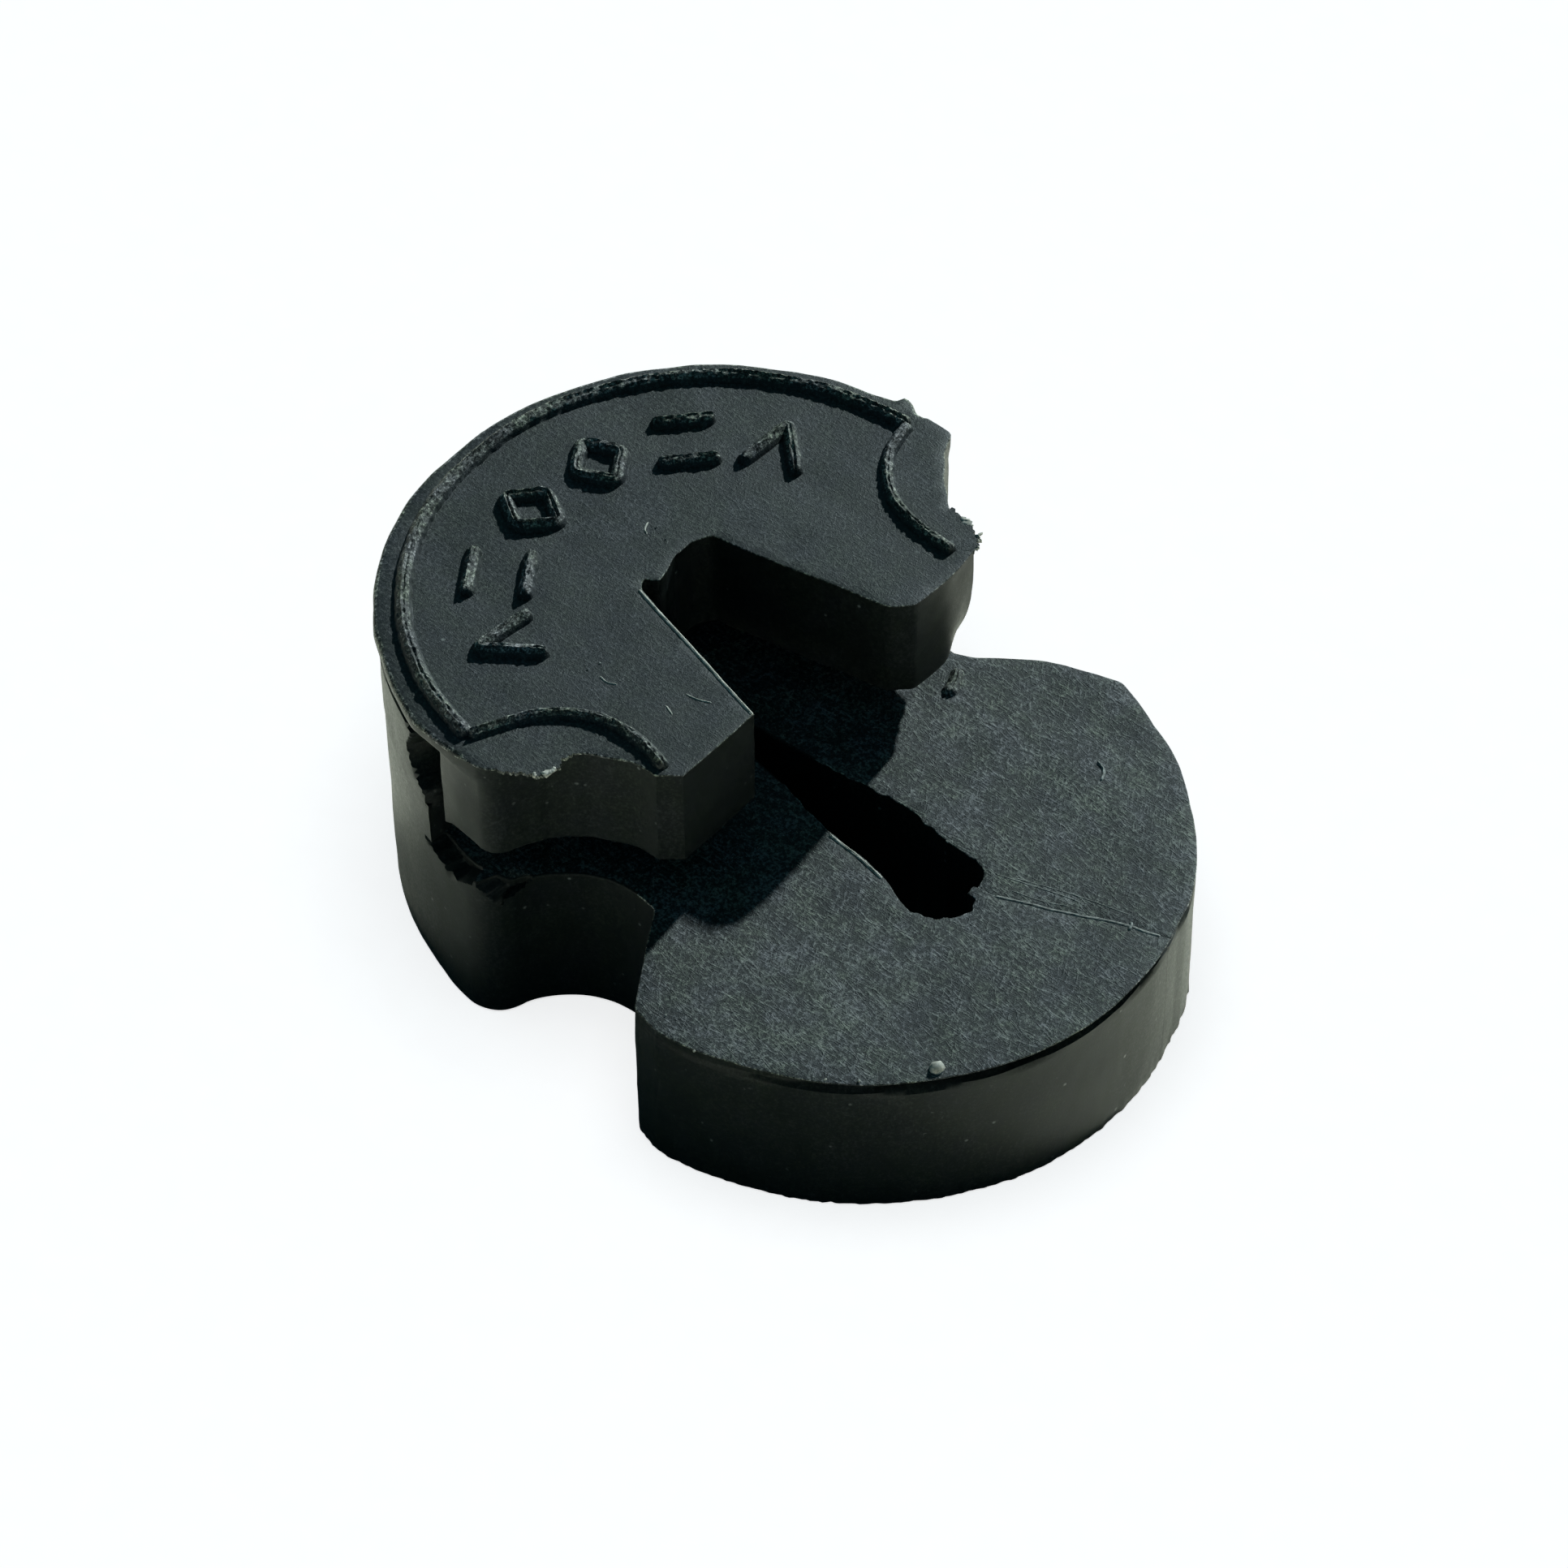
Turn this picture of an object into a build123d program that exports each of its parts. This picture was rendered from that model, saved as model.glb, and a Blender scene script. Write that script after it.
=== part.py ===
"""Clip-on rubber mute for a bowed string instrument, in millimetres.

The mute is one rubber moulding.  It is modelled as its working zones, which meet face to face:
a back plate, a hinge web on it, a clip jaw above the bridge gap, and the two arms of the plain
lobe, which spring apart at a knife slit to let a string into the slot.  The raised beads and
motifs on the jaw are nodes of their own.
X runs from the jaw lobe to the plain lobe, Z is up, and the origin is the middle of the base.
Lengths named "ahead" are measured along X from the centre of the jaw lobe.
"""
import os
from math import sqrt

from build123d import *

# ---- driving dimensions ----
length = 28.4
base_radius = 10.7  # lobe of the back plate under the jaw
jaw_radius = 10.5
plain_radius = 10.35  # lobe that stands free of the jaw
plain_lobe_y = -0.35  # it is trimmed slightly off centre

plate_height = 6.05
gap_height = 1.7
jaw_height = 3.95
gap_end_ahead = -3.0  # the bridge gap stops here, at the hinge web
prong_ahead = 5.0  # the prongs end here
prong_corner_cut = 0.6

jaw_notch_radius = 3.6
jaw_notch_ahead = 4.4
jaw_notch_out = 10.5
plate_notch_radius = 3.3
plate_notch_ahead = 3.9
plate_notch_out = 10.7
shoulder_foot_ahead = 4.8  # the plain lobe's shoulders start here, at the floor of the notch
left_tip_ahead = 7.2  # and end here, on the lobe's rim
right_tip_ahead = 8.3
lobe_corner_radius = 0.9
tip_corner_radius = 0.4

mouth_ahead = -1.7  # closed end of the jaw's wedge mouth
mouth_y = 0.15
mouth_closed_width = 3.3
mouth_open_width = 6.6

slot_narrow_ahead = -1.2  # the back plate's slot widens the other way
slot_narrow_width = 0.4
slot_wide_ahead = 10.3
slot_wide_width = 3.1
slot_turn = -2.5
slit_width = 0.12
slit_foot_y = 0.6
slit_turn = 20.0

flex_start_ahead = 3.9  # the waist legs bend between these two stations
flex_end_ahead = 5.9

rim_shoulder = 0.32  # flat left outside the rim bead
rim_bead_width = 0.62
notch_bead_radius = 3.3
notch_bead_width = 0.5
notch_bead_ahead = 2.95
notch_bead_out = 9.85
notch_bead_end_ahead = 4.5
bead_height = 0.35
bead_rounding = 0.12

motif_count = 6
motif_ring_radius = 6.85
motif_pitch = 25.6
motif_stroke = 0.6
motif_length = 2.5
motif_width = 2.2
motif_height = 0.4

# ---- stations worked out from them ----
jaw_x = base_radius - length / 2
plain_x = length / 2 - plain_radius
gap_top = plate_height + gap_height
jaw_top = gap_top + jaw_height
prong_x = jaw_x + prong_ahead
gap_end_x = jaw_x + gap_end_ahead
slot_length = slot_wide_ahead - slot_narrow_ahead
flex_start_x = jaw_x + flex_start_ahead
flex_end_x = jaw_x + flex_end_ahead
rim_bead_radius = jaw_radius - rim_shoulder
beyond = 2 * length  # longer than the part, for cutting it

left, right = -1, 1


def lobe_and_notch_corner(lobe_radius, notch_ahead, notch_out, notch_radius):
    """Corner where the jaw-side lobe runs into a notch, on the right side of the part."""
    apart = sqrt(notch_ahead**2 + notch_out**2)
    along = (lobe_radius**2 - notch_radius**2 + apart**2) / (2 * apart)
    aside = sqrt(lobe_radius**2 - along**2)
    ahead = (along * notch_ahead - aside * notch_out) / apart
    out = (along * notch_out + aside * notch_ahead) / apart
    return jaw_x + ahead, out


def notch_floor(notch_ahead, notch_out, notch_radius, ahead):
    """Point of a notch's floor at a station, on the right side of the part."""
    return jaw_x + ahead, notch_out - sqrt(notch_radius**2 - (ahead - notch_ahead) ** 2)


def notch_flank(notch_ahead, notch_out, notch_radius):
    """Point of a notch's flank half way between its corner and its floor."""
    return jaw_x + notch_ahead - 0.8 * notch_radius, notch_out - 0.6 * notch_radius


def mirrored(point, side):
    return point[0], side * point[1]


def shoulder_tip(ahead, side):
    """Point of the plain lobe's rim at a station."""
    x = jaw_x + ahead
    return x, plain_lobe_y + side * sqrt(plain_radius**2 - (x - plain_x) ** 2)


def jaw_region():
    """Half of the plan that lies beside the jaw lobe, for the rim bead."""
    with Locations((jaw_x, 0)):
        Rectangle(beyond, beyond, align=(Align.MAX, Align.CENTER), mode=Mode.INTERSECT)


# ---- plan of the back plate, with its slot and slit ----
with BuildSketch() as plate_plan:
    with BuildLine():
        lobe_corner = lobe_and_notch_corner(
            base_radius, plate_notch_ahead, plate_notch_out, plate_notch_radius
        )
        floor = notch_floor(plate_notch_ahead, plate_notch_out, plate_notch_radius, shoulder_foot_ahead)
        flank = notch_flank(plate_notch_ahead, plate_notch_out, plate_notch_radius)
        tips = {left: shoulder_tip(left_tip_ahead, left), right: shoulder_tip(right_tip_ahead, right)}
        ThreePointArc(lobe_corner, (jaw_x - base_radius, 0), mirrored(lobe_corner, left))
        for side in (left, right):
            ThreePointArc(mirrored(lobe_corner, side), mirrored(flank, side), mirrored(floor, side))
            Line(mirrored(floor, side), tips[side])
        ThreePointArc(tips[left], (plain_x + plain_radius, plain_lobe_y), tips[right])
    make_face()
    corners = plate_plan.vertices().filter_by(lambda v: abs(v.Y) > plate_notch_out - 1)
    fillet(corners.sort_by(Axis.X)[:2], lobe_corner_radius)
    fillet(corners.sort_by(Axis.X)[2:], tip_corner_radius)
    with Locations(Location((jaw_x + slot_narrow_ahead, 0), slot_turn)):
        Polygon(
            (0, slot_narrow_width / 2),
            (0, -slot_narrow_width / 2),
            (slot_length, -slot_wide_width / 2),
            (slot_length, slot_wide_width / 2),
            align=None,
            mode=Mode.SUBTRACT,
        )
        with Locations((slot_length, 0)):
            Circle(slot_wide_width / 2, mode=Mode.SUBTRACT)
    with Locations(Location((jaw_x + slot_wide_ahead, slit_foot_y), slit_turn)):
        Rectangle(length, slit_width, align=(Align.MIN, Align.CENTER), mode=Mode.SUBTRACT)

# ---- plan of the jaw ----
with BuildSketch() as jaw_plan:
    with BuildLine():
        lobe_corner = lobe_and_notch_corner(jaw_radius, jaw_notch_ahead, jaw_notch_out, jaw_notch_radius)
        cut_ahead = prong_ahead - prong_corner_cut
        floor = notch_floor(jaw_notch_ahead, jaw_notch_out, jaw_notch_radius, cut_ahead)
        flank = notch_flank(jaw_notch_ahead, jaw_notch_out, jaw_notch_radius)
        prong_corner = (prong_x, floor[1] - prong_corner_cut)
        ThreePointArc(lobe_corner, (jaw_x - jaw_radius, 0), mirrored(lobe_corner, left))
        for side in (left, right):
            ThreePointArc(mirrored(lobe_corner, side), mirrored(flank, side), mirrored(floor, side))
            Line(mirrored(floor, side), mirrored(prong_corner, side))
        Line(mirrored(prong_corner, left), prong_corner)
    make_face()
    with BuildLine():
        Polyline(
            (jaw_x + mouth_ahead, mouth_y + mouth_closed_width / 2),
            (jaw_x + mouth_ahead, mouth_y - mouth_closed_width / 2),
            (prong_x, mouth_y - mouth_open_width / 2),
            (prong_x, mouth_y + mouth_open_width / 2),
            close=True,
        )
    make_face(mode=Mode.SUBTRACT)

# ---- the back plate and its hinge web ----
with BuildPart() as back_plate:
    with BuildSketch():
        add(plate_plan.sketch)
    extrude(amount=plate_height)
    split(bisect_by=Plane.YZ.offset(flex_start_x), keep=Keep.BOTTOM)
back_plate.part.label = "back_plate"

with BuildPart() as hinge_web:
    with BuildSketch(Plane.XY.offset(plate_height)):
        with Locations((jaw_x, 0)):
            Circle(jaw_radius)
        with Locations((gap_end_x, 0)):
            Rectangle(beyond, beyond, align=(Align.MAX, Align.CENTER), mode=Mode.INTERSECT)
    extrude(amount=gap_height)
hinge_web.part.label = "hinge_web"

# ---- the two waist legs, which bend, and the two arms of the plain lobe ----
with BuildPart() as waist:
    with BuildSketch():
        add(plate_plan.sketch)
    extrude(amount=plate_height)
    split(bisect_by=Plane.YZ.offset(flex_start_x), keep=Keep.TOP)
    split(bisect_by=Plane.YZ.offset(flex_end_x), keep=Keep.BOTTOM)

with BuildPart() as plain_lobe:
    with BuildSketch():
        add(plate_plan.sketch)
    extrude(amount=plate_height)
    split(bisect_by=Plane.YZ.offset(flex_end_x), keep=Keep.TOP)

waist_left, waist_right = waist.solids().sort_by(Axis.Y)
arm_left, arm_right = plain_lobe.solids().sort_by(Axis.Y)

# ---- the clip jaw ----
with BuildPart() as front_jaw:
    with BuildSketch(Plane.XY.offset(gap_top)):
        add(jaw_plan.sketch)
    extrude(amount=jaw_height)
front_jaw.part.label = "front_jaw"

# ---- raised beads round the jaw's face ----
with BuildPart() as rim_bead:
    with BuildSketch(Plane.XY.offset(jaw_top)):
        with Locations((jaw_x, 0)):
            Circle(rim_bead_radius)
            Circle(rim_bead_radius - rim_bead_width, mode=Mode.SUBTRACT)
        for side in (left, right):
            with Locations((jaw_x + notch_bead_ahead, side * notch_bead_out)):
                Circle(notch_bead_radius, mode=Mode.SUBTRACT)
        jaw_region()
    extrude(amount=bead_height)
    fillet(rim_bead.faces().sort_by(Axis.Z)[-1].edges(), bead_rounding)
rim_bead.part.label = "rim_bead"

notch_beads = {}
for side, name in ((left, "notch_bead_left"), (right, "notch_bead_right")):
    with BuildPart() as notch_bead:
        with BuildSketch(Plane.XY.offset(jaw_top)):
            with Locations((jaw_x + notch_bead_ahead, side * notch_bead_out)):
                Circle(notch_bead_radius + notch_bead_width)
                Circle(notch_bead_radius, mode=Mode.SUBTRACT)
            with Locations((jaw_x, 0)):
                Circle(rim_bead_radius - rim_bead_width, mode=Mode.INTERSECT)
            with Locations((jaw_x + notch_bead_end_ahead, 0)):
                Rectangle(beyond, beyond, align=(Align.MAX, Align.CENTER), mode=Mode.INTERSECT)
        extrude(amount=bead_height)
        fillet(notch_bead.faces().sort_by(Axis.Z)[-1].edges(), bead_rounding)
    notch_bead.part.label = name
    notch_beads[name] = notch_bead.part


# ---- six raised motifs on an arc round the mouth ----
def lozenge():
    """Hollow lozenge, its long axis along the part's radius."""
    end = motif_length / 2
    side = motif_width / 2
    inner = 1 - motif_stroke * sqrt(end**2 + side**2) / (end * side)
    for scale, mode in ((1, Mode.ADD), (inner, Mode.SUBTRACT)):
        a, b = end * scale, side * scale
        Polygon((-a, 0), (0, -b), (a, 0), (0, b), align=None, mode=mode)


def bars():
    """Two parallel bars across the radius."""
    with GridLocations(motif_length - motif_stroke, 0, 2, 1):
        SlotOverall(motif_width, motif_stroke, rotation=90)


def chevron():
    """Two strokes that meet in a point on the outer side."""
    end = motif_length / 2
    for side in (left, right):
        Polygon(
            (end, 0),
            (end - 1.4 * motif_stroke, 0),
            (-end, side * (motif_width - motif_stroke) / 2),
            (motif_stroke - end, side * (motif_width + motif_stroke) / 2),
            align=None,
        )


motif_shapes = [chevron, bars, lozenge, lozenge, bars, chevron]
motifs = {}
for index in range(motif_count):
    angle = 180 + (index - (motif_count - 1) / 2) * motif_pitch
    with BuildPart() as motif:
        with BuildSketch(Plane((jaw_x, 0, jaw_top)).rotated((0, 0, angle))):
            with Locations((motif_ring_radius, 0)):
                motif_shapes[index]()
        extrude(amount=motif_height)
    motif.part.label = f"motif_{index + 1}"
    motifs[motif.part.label] = motif.part

# ---- one file for each node ----
nodes = {
    "back_plate": back_plate.part,
    "hinge_web": hinge_web.part,
    "waist_left": waist_left,
    "waist_right": waist_right,
    "arm_left": arm_left,
    "arm_right": arm_right,
    "front_jaw": front_jaw.part,
    "rim_bead": rim_bead.part,
}
nodes.update(notch_beads)
nodes.update(motifs)
os.makedirs("parts", exist_ok=True)
for name, shape in nodes.items():
    shape.label = name
    export_step(shape, f"parts/{name}.step")
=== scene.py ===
"""Looks of the clip-on rubber mute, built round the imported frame.

Plan positions are in millimetres: "ahead" is X measured from the centre of the jaw lobe and "out" is Y.
Heights are millimetres above the base. Meshes are made in metres.
"""

import math
import random

import bmesh
import bpy
import numpy as np
from mathutils import Matrix, Vector, noise
from mathutils.geometry import delaunay_2d_cdt


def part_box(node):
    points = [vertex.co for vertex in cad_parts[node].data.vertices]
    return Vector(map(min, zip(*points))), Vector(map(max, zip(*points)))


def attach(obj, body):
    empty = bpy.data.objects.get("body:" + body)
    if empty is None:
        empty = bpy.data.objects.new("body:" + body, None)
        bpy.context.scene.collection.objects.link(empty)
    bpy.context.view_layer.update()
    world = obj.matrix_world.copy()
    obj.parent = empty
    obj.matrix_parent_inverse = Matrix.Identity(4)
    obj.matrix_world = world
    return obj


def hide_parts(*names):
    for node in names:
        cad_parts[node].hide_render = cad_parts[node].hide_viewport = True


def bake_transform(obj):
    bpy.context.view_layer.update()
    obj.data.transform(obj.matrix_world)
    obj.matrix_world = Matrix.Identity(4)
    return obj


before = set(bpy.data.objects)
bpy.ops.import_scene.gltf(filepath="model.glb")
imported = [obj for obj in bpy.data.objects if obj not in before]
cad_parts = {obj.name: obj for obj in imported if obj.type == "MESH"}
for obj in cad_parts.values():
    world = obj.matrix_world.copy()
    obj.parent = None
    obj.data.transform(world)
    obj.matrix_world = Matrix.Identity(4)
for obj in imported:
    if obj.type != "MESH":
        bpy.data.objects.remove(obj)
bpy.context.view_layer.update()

NOISE_SEED = 7
noise.seed_set(NOISE_SEED)  # noise_vector differs from run to run without a seed

MM = 0.001

# ---- heights and stations read from the frame, in millimetres ----
PLATE_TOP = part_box("back_plate")[1].z / MM
GAP_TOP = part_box("front_jaw")[0].z / MM
JAW_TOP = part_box("front_jaw")[1].z / MM
BASE_LOW_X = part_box("back_plate")[0].x / MM
BASE_HIGH_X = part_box("arm_left")[1].x / MM
FLEX_START_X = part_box("waist_left")[0].x / MM

# ---- plan sizes, in millimetres and degrees ----
BASE_RADIUS = 10.7
JAW_RADIUS = 10.5
PLAIN_RADIUS = 10.35
PLAIN_LOBE_Y = -0.35
JAW_X = BASE_LOW_X + BASE_RADIUS
PLAIN_X = BASE_HIGH_X - PLAIN_RADIUS
SEAM_AHEAD = FLEX_START_X - JAW_X
WEB_MIDDLE_AHEAD = -3.0
WEB_END_AHEAD = -2.44
WEB_END_ANGLE = 103.2

PLATE_NOTCH_CENTRE = (3.9, 10.7)
PLATE_NOTCH_RADIUS = 3.3
PLATE_CORNER_ANGLE = 86.8  # where the notch meets the base lobe, from straight ahead
NOTCH_CORNER_ANGLE = 180.3  # the same corner seen from the notch's centre
NEAR_SEAM = 0.02  # the web's end line, with room for its points

EDGE = 0.07  # usual rounding of a moulded edge
STEP = 0.13  # spacing of outline points
CAP_STEP = 0.42  # spacing of points inside a flat face
WALL_STEP = 0.45  # spacing of points up a wall


# ---------------------------------------------------------------- plan curves

def arc(centre, radius, start, end, step=STEP):
    """Points of an arc, angles in degrees, both ends included."""
    count = max(3, int(abs(math.radians(end - start)) * radius / step) + 1)
    angles = np.radians(np.linspace(start, end, count))
    return np.stack([centre[0] + radius * np.cos(angles), centre[1] + radius * np.sin(angles)], -1)


def drop_repeats(points, least=1e-4):
    keep = np.ones(len(points), bool)
    keep[1:] = np.linalg.norm(np.diff(points, axis=0), axis=1) > least
    return points[keep]


def straight(*points, step=STEP):
    """Points along straight runs, both ends included."""
    parts = []
    for a, b in zip(points[:-1], points[1:]):
        a, b = np.array(a, float), np.array(b, float)
        count = max(2, int(np.linalg.norm(b - a) / step) + 1)
        parts.append(a + (b - a) * np.linspace(0, 1, count)[:, None])
    return drop_repeats(np.concatenate(parts))


def curve(*points, step=STEP):
    """A smooth curve through the given points."""
    p = np.array(points, float)
    p = np.concatenate([[2 * p[0] - p[1]], p, [2 * p[-1] - p[-2]]])
    parts = []
    for a, b, c, d in zip(p, p[1:], p[2:], p[3:]):
        t = np.linspace(0, 1, max(2, int(np.linalg.norm(c - b) / step) + 1))[:, None]
        bend = (2 * a - 5 * b + 4 * c - d) * t**2 + (3 * b - a - 3 * c + d) * t**3
        parts.append(0.5 * (2 * b + (c - a) * t + bend))
    return drop_repeats(np.concatenate(parts))


def lengths(points):
    """Length along a path at each point."""
    return np.concatenate([[0], np.cumsum(np.linalg.norm(np.diff(points, axis=0), axis=1))])


def part_of(points, start, end):
    """The stretch of a path between two lengths along it, evenly spaced."""
    along = lengths(points)
    count = max(2, int((end - start) / STEP) + 1)
    at = np.linspace(start, end, count)
    return np.stack([np.interp(at, along, points[:, 0]), np.interp(at, along, points[:, 1])], -1)


def joined(reach, *runs):
    """Runs that meet end to start, with each meeting corner rounded over a reach."""
    made = runs[0]
    for run in runs[1:]:
        a = part_of(made, 0, lengths(made)[-1] - reach)
        b = part_of(run, reach, lengths(run)[-1])
        tip = (made[-1] + run[0]) / 2
        t = np.linspace(0, 1, max(4, int(2 * reach / STEP)))[1:-1, None]
        turn = a[-1] * (1 - t) ** 2 + tip * 2 * t * (1 - t) + b[0] * t**2
        made = np.concatenate([a, turn, b])
    return made


def ahead(points):
    """Plan points given from the jaw's centre, moved into the row frame."""
    return np.asarray(points, float) + (JAW_X, 0)


def noise_at(points, scale, seed=0.0):
    """Smooth noise between -1 and 1 at each 3-D point, with features about 1/scale mm long."""
    return np.array([noise.noise((x * scale + seed, y * scale - seed, z * scale)) for x, y, z in points])


def flat_noise(points, scale, seed=0.0):
    return noise_at(np.c_[points, np.zeros(len(points))], scale, seed)


def jagged(points, amount, scale, seed):
    """Plan points moved sideways by noise, with their ends kept."""
    tangent = np.gradient(points, axis=0)
    normal = np.stack([-tangent[:, 1], tangent[:, 0]], -1)
    normal /= np.linalg.norm(normal, axis=1)[:, None] + 1e-12
    place = np.arange(len(points))
    fade = np.minimum(1, np.minimum(place, place[::-1]) / 3)
    return points + normal * (amount * fade * flat_noise(points, scale, seed))[:, None]


class Outline:
    """Closed plan outline, anticlockwise, with the edge rounding of each point."""

    def __init__(self):
        self.points, self.top, self.bottom, self.inward = [], [], [], []

    def run(self, points, top=EDGE, bottom=EDGE):
        for p in points:
            if self.points and np.linalg.norm(self.points[-1] - p) < 1e-3:
                continue
            self.add(p, top, bottom)
        return self

    def seam(self, start, end):
        """A cut face, sharp all round, very slightly bowed. Its two ends belong to the runs beside it."""
        points = straight(start, end, step=0.5)
        points[:, 0] += 0.03 * np.sin(np.linspace(0, math.pi, len(points)))
        toward = (end - start) / np.linalg.norm(end - start)
        self.inward[-1] = toward
        for p in points[1:-1]:
            self.add(p, 0, 0)
        self.add(end, EDGE, EDGE, -toward)
        return self

    def add(self, point, top, bottom, inward=None):
        self.points.append(np.array(point, float))
        self.top.append(top)
        self.bottom.append(bottom)
        self.inward.append(inward)

    def arrays(self):
        """Points, top and bottom rounding, and inward directions, without a repeated last point."""
        if np.linalg.norm(self.points[0] - self.points[-1]) < 1e-3:
            if self.inward[-1] is not None:
                self.inward[0] = self.inward[-1]
            for values in (self.points, self.top, self.bottom, self.inward):
                values.pop()
        points = np.array(self.points)
        tangent = np.roll(points, -1, axis=0) - np.roll(points, 1, axis=0)
        normal = np.stack([-tangent[:, 1], tangent[:, 0]], -1)
        normal /= np.linalg.norm(normal, axis=1)[:, None] + 1e-12
        for i, way in enumerate(self.inward):
            if way is not None:
                normal[i] = way
        return points, np.array(self.top), np.array(self.bottom), normal


# ---------------------------------------------------------------- meshes

def inside(points, loop):
    """Which plan points lie inside a closed loop."""
    a, b = loop, np.roll(loop, -1, axis=0)
    rise = np.where(b[:, 1] == a[:, 1], 1e-12, b[:, 1] - a[:, 1])
    hits = np.zeros(len(points), int)
    for start in range(0, len(points), 2000):
        x, y = points[start:start + 2000, :1], points[start:start + 2000, 1:]
        crosses = (a[:, 1] > y) != (b[:, 1] > y)
        at = a[:, 0] + (y - a[:, 1]) * (b[:, 0] - a[:, 0]) / rise
        hits[start:start + 2000] = (crosses & (x < at)).sum(1)
    return hits % 2 == 1


def far_from(points, loop, least):
    """Which plan points are at least that far from every point of a loop."""
    keep = np.ones(len(points), bool)
    for start in range(0, len(points), 1000):
        part = points[start:start + 1000]
        keep[start:start + 1000] = np.linalg.norm(part[:, None, :] - loop[None, :, :], axis=2).min(1) > least
    return keep


def fill(loop, step):
    """Interior points on a staggered grid, and triangles over loop points then interior points."""
    low, high = loop.min(0), loop.max(0)
    grid = []
    for row, y in enumerate(np.arange(low[1], high[1], step * 0.866)):
        for x in np.arange(low[0] + (row % 2) * step / 2, high[0], step):
            grid.append((x, y))
    grid = np.array(grid)
    grid = grid[inside(grid, loop)]
    grid = grid[far_from(grid, loop, 0.5 * step)]
    points = np.concatenate([loop, grid])
    ring = list(range(len(loop)))
    edges = [(i, (i + 1) % len(ring)) for i in ring]
    made = delaunay_2d_cdt([Vector(p) for p in points], edges, [], 0, 1e-6, True)
    source = [ids[0] if ids else None for ids in made[3]]
    faces = [tuple(source[v] for v in face) for face in made[2]]
    faces = [face for face in faces if None not in face and len(set(face)) == 3]
    kept = inside(points[np.array(faces)].mean(1), loop)
    return grid, [face for face, keep in zip(faces, kept) if keep]


def levels(height, step):
    """Shares of a wall's height: even below, and close together under the top edge."""
    near = [0.66, 0.52, 0.43, 0.35, 0.28, 0.21, 0.15, 0.10, 0.05, 0.0]
    if height < 1.4:
        return np.linspace(0, 1, 10)
    body = np.linspace(0, height - 0.8, max(2, int(height / step)))
    return np.concatenate([body, height - np.array(near)]) / height


def slab(outline, low, high, cap_step=CAP_STEP, wall_step=WALL_STEP):
    """Mesh data of a plate with rounded edges: vertices, faces, and a kind for each face.

    Kinds are 0 for walls and the underside, 1 for the top face and 2 for the top edge's rounding.
    """
    points, top, bottom, inward = outline.arrays()
    turns = np.linspace(0, math.pi / 2, 4)
    rings = []
    for turn in turns:
        inset = bottom * (1 - math.sin(turn))
        rings.append(np.c_[points + inward * inset[:, None], low + bottom * (1 - math.cos(turn))])
    for share in levels(high - low, wall_step)[1:-1]:
        z = low + bottom + (high - top - low - bottom) * share
        rings.append(np.c_[points, z])
    for turn in turns:
        inset = top * (1 - math.cos(turn))
        rings.append(np.c_[points + inward * inset[:, None], high - top * (1 - math.sin(turn))])
    count = len(points)
    faces = []
    for ring in range(len(rings) - 1):
        a, b = ring * count, (ring + 1) * count
        for i in range(count):
            j = (i + 1) % count
            faces.append((a + i, a + j, b + j, b + i))
    kinds = [0] * ((len(rings) - len(turns)) * count) + [2] * ((len(turns) - 1) * count)
    vertices = np.concatenate(rings)
    for loop, first, level in ((rings[-1][:, :2], (len(rings) - 1) * count, high), (rings[0][:, :2], 0, low)):
        grid, made = fill(loop, cap_step)
        offset = len(vertices)
        vertices = np.concatenate([vertices, np.c_[grid, np.full(len(grid), level)]])
        for face in made:
            ids = [first + v if v < count else offset + v - count for v in face]
            faces.append(tuple(ids) if level == high else tuple(ids[::-1]))
            kinds.append(1 if level == high else 0)
    return vertices, faces, kinds


def settle(vertices):
    """Slight unevenness of moulded rubber. It depends on place only, so neighbouring zones still meet."""
    moved = np.array(vertices, float)
    for scale, amount in ((0.45, 0.035), (1.7, 0.012)):
        for i, v in enumerate(vertices):
            moved[i] += amount * np.array(noise.noise_vector(Vector(v) * scale))
    return moved


def make_piece(name, vertices, faces, materials, kinds=None, sharp=40):
    """A mesh object from millimetre vertices, smooth except across sharp edges."""
    mesh = bpy.data.meshes.new(name)
    mesh.from_pydata([tuple(v) for v in np.asarray(vertices) * MM], [], [tuple(f) for f in faces])
    for material in materials:
        mesh.materials.append(material)
    if kinds is not None:
        mesh.polygons.foreach_set("material_index", kinds)
    shape = bmesh.new()
    shape.from_mesh(mesh)
    bmesh.ops.remove_doubles(shape, verts=shape.verts, dist=2e-8)
    bmesh.ops.recalc_face_normals(shape, faces=shape.faces)
    for face in shape.faces:
        face.smooth = True
    for edge in shape.edges:
        if len(edge.link_faces) == 2:
            edge.smooth = edge.calc_face_angle() < math.radians(sharp)
    shape.to_mesh(mesh)
    shape.free()
    piece = bpy.data.objects.new(name, mesh)
    bpy.context.scene.collection.objects.link(piece)
    rubber_pieces.objects.link(piece)
    return piece


def make_slab(name, outline, low, high, looks, shape=None, cap_step=CAP_STEP, wall_step=WALL_STEP):
    """A zone of the moulding. The looks are for its walls, its top face and its top edge."""
    vertices, faces, kinds = slab(outline, low, high, cap_step, wall_step)
    if shape is not None:
        vertices = shape(vertices)
    return make_piece(name, settle(vertices), faces, looks, kinds)


# places across a ridge, in half widths from its centre line
RIDGE_STATIONS = (
    -1.7, -1.3, -1.08, -0.9, -0.72, -0.5, -0.28, -0.08, 0.12, 0.32, 0.52, 0.72, 0.9, 1.08, 1.3, 1.7
)
RIDGE_ROOT = 0.14  # how deep a ridge is sunk into the face under it


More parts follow.
